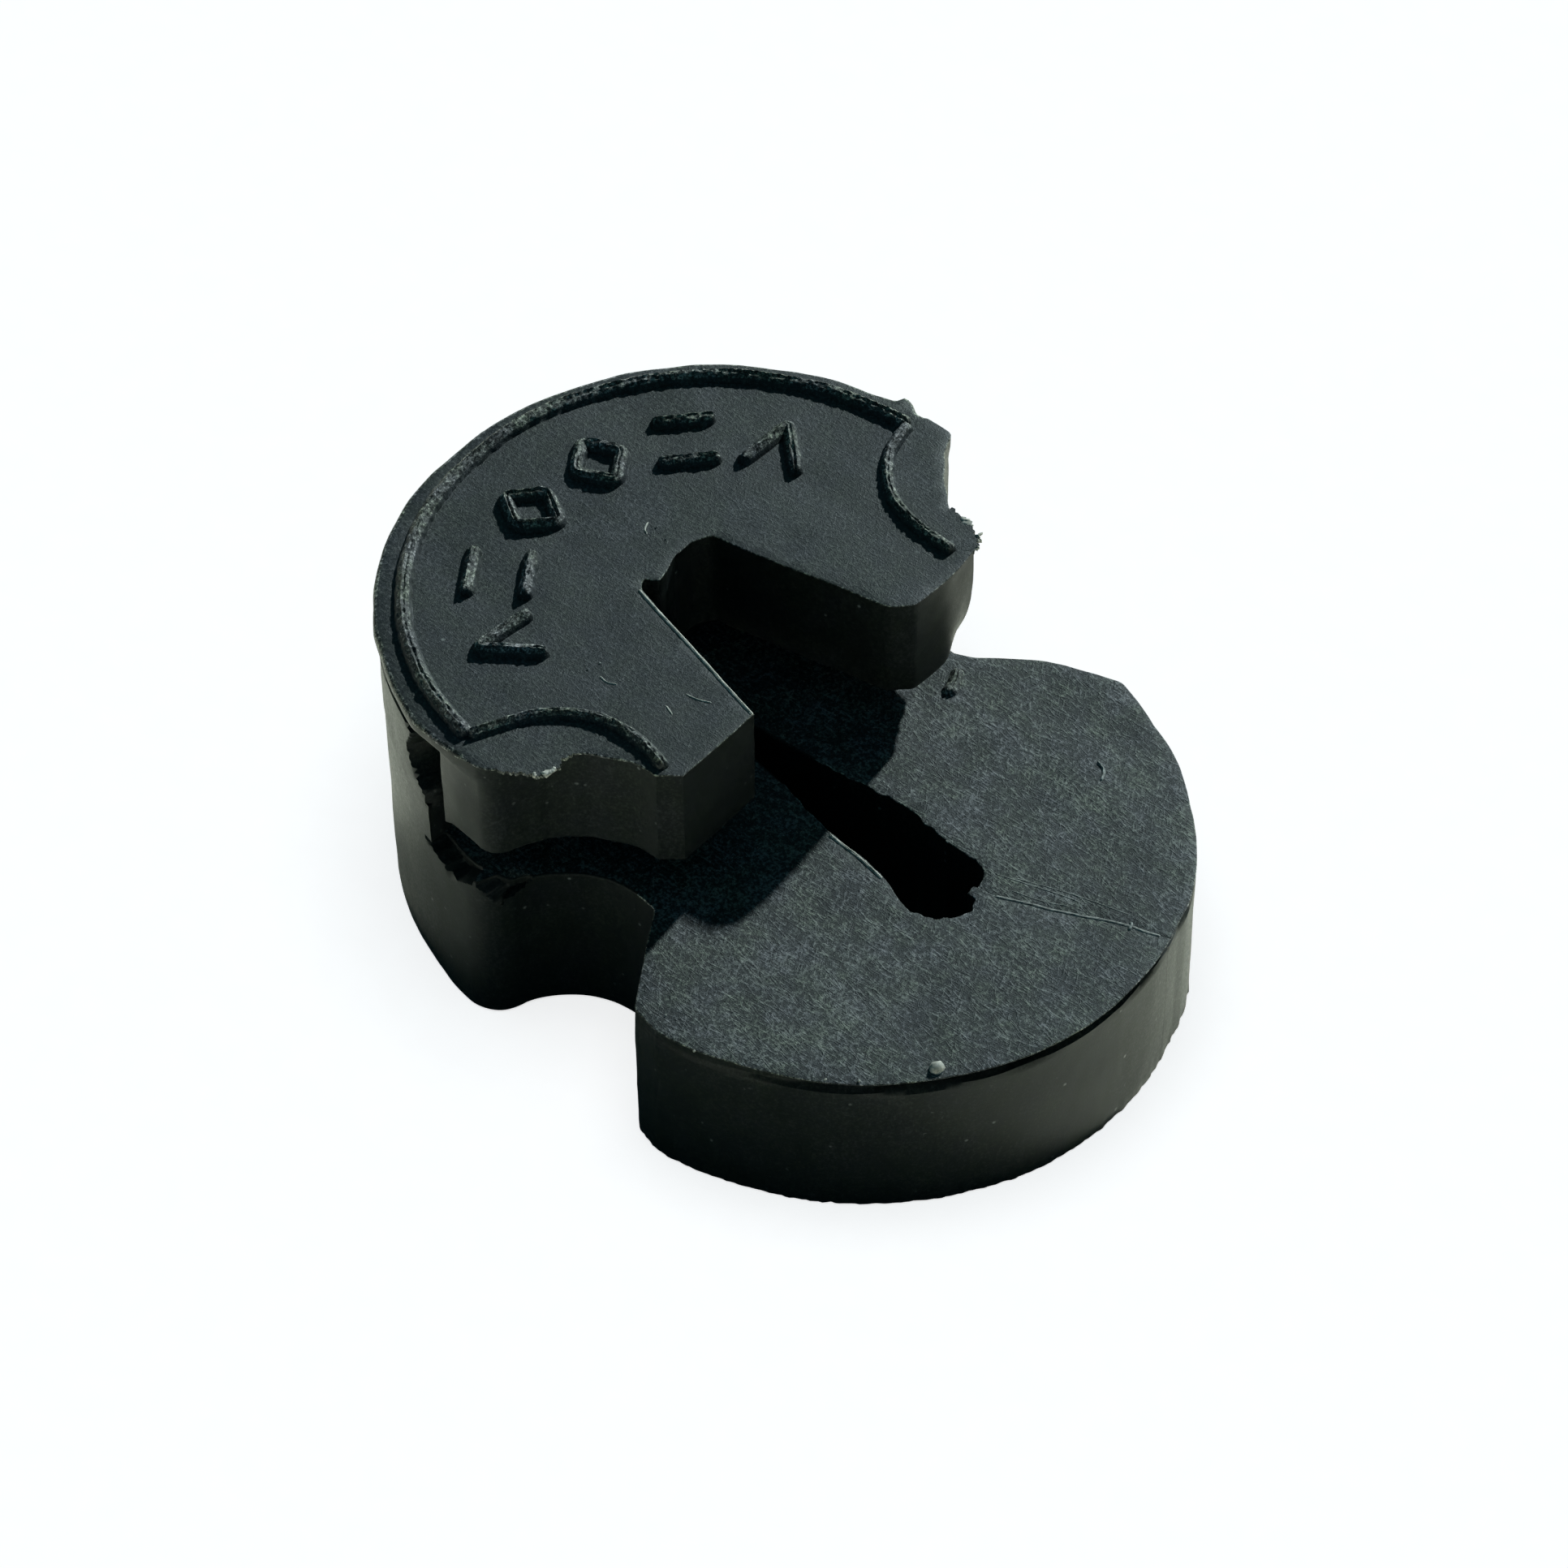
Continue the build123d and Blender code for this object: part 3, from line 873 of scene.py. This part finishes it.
BEAD_RADIUS = 9.87
RIM_RIDGE = (0.23, 0.33)  # half width and height
SCALLOP_RIDGE = (0.19, 0.30)
MOTIF_RIDGE = (0.225, 0.36)
BEAD_STEP = 0.07
MOTIF_STEP = 0.08
LOZENGE_STEP = 0.09
MOTIF_RADIUS = 6.85  # from the jaw's centre to the middle of each motif
MOTIF_SPACING = 25.6  # degrees
CREST_SHARE = 0.5  # a ridge is pale above this share of its height: painted highlight on the crest, partly wear
LEFT_BEAD = (
    (-0.95, -9.83), (-0.6, -8.9), (-0.15, -7.9), (0.5, -7.1),
    (1.3, -6.55), (2.2, -6.3), (3.3, -6.3), (4.45, -6.55)
)
RIGHT_BEAD = (
    (-0.65, 9.85), (-0.45, 9.1), (-0.1, 8.3), (0.7, 7.45),
    (1.5, 6.95), (2.5, 6.68), (3.5, 6.6), (4.4, 6.62)
)


def make_ridge(name, paths, half_width, height, seed, node):
    """Raised lines on the jaw's face, (path, closed) each, as one piece that stands for a node."""
    parts = []
    for path, closed in paths:
        parts.append(ridge(path, half_width, height, JAW_TOP, seed, closed))
    vertices, faces = together(parts)
    # faces above the crest share take the pale look, a painted highlight on the crest that is partly wear;
    # faces below keep the face rubber
    kinds = [0 if vertices[list(face), 2].mean() > JAW_TOP + CREST_SHARE * height else 1 for face in faces]
    piece = make_piece(name, settle(vertices), faces, [wear_and_highlight, moulded], kinds, sharp=50)
    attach(piece, "jaw")
    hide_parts(node)


rim_path = arc((JAW_X, 0), BEAD_RADIUS, 93.8, 264.5, BEAD_STEP)
left_path = ahead(curve(*LEFT_BEAD, step=BEAD_STEP))
right_path = ahead(curve(*RIGHT_BEAD, step=BEAD_STEP))
make_ridge("rim_ridge", [(rim_path, False)], *RIM_RIDGE, 1.0, "rim_bead")
make_ridge("left_scallop_ridge", [(left_path, False)], *SCALLOP_RIDGE, 2.0, "notch_bead_left")
make_ridge("right_scallop_ridge", [(right_path, False)], *SCALLOP_RIDGE, 3.0, "notch_bead_right")


def chevron():
    first = straight((-1.1, -0.95), (1.05, 0), step=MOTIF_STEP)
    second = straight((1.05, 0), (-1.1, 0.95), step=MOTIF_STEP)
    return [(joined(0.25, first, second), False)]


def bars():
    return [(straight((x, -1.08), (x, 1.08), step=MOTIF_STEP), False) for x in (-0.95, 0.95)]


def lozenge():
    corners = [(1.08, 0.0), (0.0, 0.92), (-1.08, 0.0), (0.0, -0.92)]
    middle = (0.54, 0.46)
    start = straight(middle, corners[1], step=LOZENGE_STEP)
    sides = [straight(corners[i], corners[(i + 1) % 4], step=LOZENGE_STEP) for i in (1, 2, 3)]
    end = straight(corners[0], middle, step=LOZENGE_STEP)
    loop = joined(0.22, start, *sides, end)
    return [(loop[:-1], True)]


for index, motif in enumerate((chevron, bars, lozenge, lozenge, bars, chevron)):
    turn = math.radians(180 + (index - 2.5) * MOTIF_SPACING)
    across = np.array([[math.cos(turn), math.sin(turn)], [-math.sin(turn), math.cos(turn)]])
    placed = [((path + (MOTIF_RADIUS, 0)) @ across + (JAW_X, 0), closed) for path, closed in motif()]
    make_ridge(f"raised_mark_{index + 1}", placed, *MOTIF_RIDGE, 10.0 + index, f"motif_{index + 1}")


# ---------------------------------------------------------------- flash and crumbs

DUST_SIZES = (0.015, 0.04)


def dabs(name, spots, level, body, seed):
    """Single bare chips: (ahead, out, size) each, half sunk into the rubber."""
    rng = random.Random(seed)
    parts = [crumb(np.array([JAW_X + x, y, level]), size, rng, 2) for x, y, size in spots]
    vertices, faces = together(parts)
    piece = make_piece(name, vertices, faces, [bright], sharp=70)
    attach(piece, body)


def scatter(name, path, count, spread, sizes, height, look, seed):
    """Scraps along a path, each sunk a little into the rubber."""
    rng = random.Random(seed)
    along = lengths(path)
    parts = []
    for _ in range(count):
        at = rng.uniform(0, along[-1])
        centre = np.array([
            np.interp(at, along, path[:, 0]) + rng.gauss(0, spread),
            np.interp(at, along, path[:, 1]) + rng.gauss(0, spread),
            height + rng.uniform(-0.05, 0.02),
        ])
        parts.append(crumb(centre, rng.uniform(*sizes), rng))
    vertices, faces = together(parts)
    piece = make_piece(name, vertices, faces, [look], sharp=70)
    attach(piece, "jaw")


def flash_skirt(name, outer, inner, seed):
    """A thin torn skirt of flash that stands out from the jaw's top edge."""
    shape = Outline()
    edge = jagged(ahead(curve(*outer, step=0.06)), 0.17, 4.5, seed)
    edge = jagged(edge, 0.09, 11.0, seed + 3)
    shape.run(edge, 0, 0)
    shape.run(ahead(curve(*inner, step=0.12)), 0, 0)
    piece = make_slab(name, shape, JAW_TOP - 0.13, JAW_TOP + 0.004, [wear_and_highlight, moulded, wear_and_highlight], None, 0.12)
    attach(piece, "jaw")


flash_skirt(
    "flash_left",
    outer=((0.75, -10.2), (1.28, -9.78), (1.8, -9.42), (2.0, -8.8), (1.86, -8.4), (2.1, -7.7)),
    inner=((1.7, -7.75), (0.95, -8.9), (0.5, -10.1)),
    seed=2.0,
)
flash_skirt(
    "flash_right",
    outer=((4.88, 7.1), (4.68, 7.5), (4.3, 7.76), (3.6, 7.98), (2.95, 8.08)),
    inner=((3.0, 7.7), (3.9, 7.42), (4.6, 6.9)),
    seed=6.0,
)
torn_left = ahead(curve((1.5, -9.6), (1.85, -9.35), (1.98, -8.9)))
torn_right = ahead(curve((3.6, 7.95), (4.35, 7.85), (4.8, 7.3)))
dust_near = ahead(straight((-0.25, -4.9), (1.24, -4.93)))
dust_far = ahead(straight((-3.9, 0.68), (-2.5, 0.53)))
scatter("crumbs_left", torn_left, 12, 0.04, (0.06, 0.15), JAW_TOP - 0.03, bright, 3)
scatter("crumbs_right", torn_right, 14, 0.03, (0.05, 0.14), JAW_TOP - 0.03, bright, 5)
scatter("dust_jaw_near", dust_near, 14, 0.18, DUST_SIZES, JAW_TOP, torn, 7)
scatter("dust_jaw_far", dust_far, 14, 0.15, DUST_SIZES, JAW_TOP, torn, 9)
left_chips = [(15.65, -5.97, 0.28), (13.47, -8.7, 0.06), (14.25, -8.02, 0.07)]
left_specks = [(9.75, -10.7, 0.05), (8.1, -10.3, 0.04), (6.5, -1.26, 0.06)]
dabs("chip_left", left_chips, PLATE_TOP, "left_arm", 11)
dabs("specks_left", left_specks, PLATE_TOP, "left_arm", 12)


def hair(name, path, width, height, level, bodies, look, seed):
    """A thin raised line along a path: a scratch, a cut edge, or a pale painted highlight along an edge."""
    vertices, faces = ridge(ahead(curve(*path, step=0.05)), width, height, level, seed)
    piece = make_piece(name, settle(vertices), faces, [look], sharp=60)
    if len(bodies) == 1:
        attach(piece, bodies[0])
    else:
        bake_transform(piece)


CUT_MARK = ((4.5, 6.9), (4.82, 6.4), (5.02, 5.85))
SLIT_NICK = ((15.93, 2.66), (16.05, 2.56), (16.12, 2.36))
SCRATCH_RIGHT = ((10.55, 7.05), (10.95, 6.9), (11.2, 6.5))


def beside(path, shift):
    """The same path moved a little out."""
    return [(x, y + shift) for x, y in path]


slit_edge = SLIT[1:-1] + ((17.0, 2.93),)
hair("cut_mark", CUT_MARK, 0.2, 0.22, PLATE_TOP, ("back", "right_arm"), wear_and_highlight, 30)
# painted highlight: a thin pale line along the wedge's left edge, where light catches it
hair("wedge_edge_highlight", beside(WEDGE_LEFT, -0.09), 0.045, 0.05, JAW_TOP, ("jaw",), bright, 33)
# painted highlight: a thin pale line along the slot's left edge, where light catches it
hair("slot_edge_highlight", beside(SLOT_LEFT[1:4], -0.09), 0.045, 0.05, PLATE_TOP, ("left_arm",), bright, 34)
hair("slit_burr", beside(slit_edge, -0.03), 0.045, 0.03, PLATE_TOP, ("left_arm",), faint, 35)
hair("slit_nick", SLIT_NICK, 0.05, 0.06, PLATE_TOP, ("left_arm",), torn, 36)
for index, path in enumerate((
    ((11.55, 1.2), (13.25, 1.84), (14.35, 2.21)),
    ((12.1, 1.5), (14.0, 2.3), (15.7, 2.86)),
    ((12.3, 1.0), (13.3, 1.35), (14.1, 1.8)),
)):
    hair(f"scratch_slit_{index + 1}", path, 0.018, 0.014, PLATE_TOP, ("right_arm",), faint, 40 + index)
hair("scratch_right", SCRATCH_RIGHT, 0.04, 0.06, PLATE_TOP, ("right_arm",), torn, 31)
for index, path in enumerate((
    ((2.63, -3.82), (3.03, -3.74), (3.47, -3.53)),
    ((0.14, -5.16), (0.5, -5.18), (0.8, -5.02)),
    ((2.55, -4.6), (2.95, -4.74)),
    ((-3.65, 0.75), (-3.5, 0.45), (-3.3, 0.35)),
)):
    hair(f"scratch_jaw_{index + 1}", path, 0.025, 0.03, JAW_TOP, ("jaw",), bright, 50 + index)


# ---------------------------------------------------------------- floor, light, camera

FLOOR_DROP = 0.04 * MM  # the floor lies just under the rubber's foot
TABLE_DROP = 0.08 * MM


def make_backdrop():
    """A pale floor that rises far away into a pale wall and ceiling."""
    shape = bmesh.new()
    profile = curve((0.35, 0.0), (0.6, 0.02), (0.8, 0.12), (0.95, 0.35), (0.98, 0.7), (0.8, 1.2), step=0.05)
    count = 96
    rows = []
    for r, z in profile:
        turn = [math.tau * i / count for i in range(count)]
        rows.append([shape.verts.new((r * math.cos(a), r * math.sin(a), z - FLOOR_DROP)) for a in turn])
    for a, b in zip(rows[:-1], rows[1:]):
        for i in range(count):
            shape.faces.new((a[i], a[(i + 1) % count], b[(i + 1) % count], b[i]))
    shape.faces.new(rows[0][::-1])
    shape.faces.new(rows[-1])
    for face in shape.faces:
        face.smooth = True
    mesh = bpy.data.meshes.new("pale_backdrop")
    shape.to_mesh(mesh)
    shape.free()
    backdrop = bpy.data.objects.new("pale_backdrop", mesh)
    bpy.context.scene.collection.objects.link(backdrop)
    material, tree, coords = new_material("pale_floor")
    tone = noise_value(tree, coords, 900, 3, 0.5)
    shader = add_node(tree, "ShaderNodeBsdfPrincipled", {
        "Base Color": ramp(tree, tone, (0.3, 0.78), (0.7, 0.82)),
        "Roughness": 0.9,
        "Emission Color": (1, 1, 1, 1),
        "Emission Strength": 0.74,
    })
    add_node(tree, "ShaderNodeOutputMaterial", {"Surface": shader.outputs["BSDF"]})
    mesh.materials.append(material)
    backdrop.visible_diffuse = False
    backdrop.visible_glossy = False
    backdrop.visible_shadow = False
    return backdrop


backdrop = make_backdrop()


def make_bounce_floor():
    """A pale table that lights the object from below. The camera sees only the backdrop."""
    mesh = bpy.data.meshes.new("bounce_floor")
    corners = [(x, y, -TABLE_DROP) for x, y in ((-0.5, -0.5), (0.5, -0.5), (0.5, 0.5), (-0.5, 0.5))]
    mesh.from_pydata(corners, [], [(0, 1, 2, 3)])
    table = bpy.data.objects.new("bounce_floor", mesh)
    material, tree, coords = new_material("table")
    tone = noise_value(tree, coords, 60, 3, 0.5)
    shader = add_node(tree, "ShaderNodeBsdfPrincipled", {
        "Base Color": ramp(tree, tone, (0.3, (0.50, 0.54, 0.48)), (0.7, (0.56, 0.60, 0.54))),
        "Roughness": 0.9,
        "Specular IOR Level": 0.0,
    })
    add_node(tree, "ShaderNodeOutputMaterial", {"Surface": shader.outputs["BSDF"]})
    mesh.materials.append(material)
    table.visible_camera = False
    table.visible_shadow = False
    return table


def collection_of(name, *members):
    """A collection that lights can be limited to."""
    made = bpy.data.collections.new(name)
    bpy.context.scene.collection.children.link(made)
    for member in members:
        made.objects.link(member)
    return made


table_only = collection_of("table_only", make_bounce_floor())
backdrop_only = collection_of("backdrop_only", backdrop)


def add_light(name, kind, toward, energy, colour, receivers, distance=0.7, size=0.2, angle=0.03):
    """A light whose direction from the object is given, shining on one collection."""
    data = bpy.data.lights.new(name, kind)
    data.energy = energy
    data.color = colour
    if kind == "SUN":
        data.angle = angle
    else:
        data.shape = "DISK"
        data.size = size
    lamp = bpy.data.objects.new(name, data)
    bpy.context.scene.collection.objects.link(lamp)
    way = Vector(toward).normalized()
    lamp.location = way * distance
    lamp.rotation_euler = way.to_track_quat("Z", "Y").to_euler()
    lamp.light_linking.receiver_collection = receivers


SUNWARD = (-0.165, 0.865, 0.475)
TABLE_GLOW = (1.0, 1.0, 0.93)
add_light("key", "SUN", SUNWARD, 3.9, (0.85, 1.0, 1.0), rubber_pieces)
add_light("table_key", "SUN", SUNWARD, 15.0, TABLE_GLOW, table_only)
add_light("table_fill", "SUN", (-0.72, 0.60, 0.35), 6.0, TABLE_GLOW, table_only, angle=0.3)
add_light("overhead", "AREA", (0, 0, 1), 1.5, (1, 1, 1), backdrop_only, size=0.5)

world = bpy.data.worlds.new("dim_room")
world.use_nodes = True
room = world.node_tree.nodes["Background"]
room.inputs["Color"].default_value = (0.30, 0.80, 1.0, 1)
room.inputs["Strength"].default_value = 0.10
bpy.context.scene.world = world
bpy.context.scene.view_settings.view_transform = "Standard"


def add_camera():
    """The photograph's view: 45.5 degrees round from the side, 47.6 degrees up."""
    azimuth = math.radians(-45.511)
    elevation = math.radians(47.603)
    roll = math.radians(-0.294)
    distance = 0.1867
    target = Vector((-1.428, 1.157, 3.15)) * MM
    level = math.cos(elevation)
    back = Vector((level * math.cos(azimuth), level * math.sin(azimuth), math.sin(elevation)))
    data = bpy.data.cameras.new("camera")
    data.lens = 129.73
    data.sensor_width = 36
    data.clip_start = 0.01
    data.clip_end = 10
    camera = bpy.data.objects.new("camera", data)
    bpy.context.scene.collection.objects.link(camera)
    turn = back.to_track_quat("Z", "Y").to_matrix().to_4x4() @ Matrix.Rotation(roll, 4, "Z")
    camera.matrix_world = Matrix.Translation(target + back * distance) @ turn
    bpy.context.scene.camera = camera


add_camera()
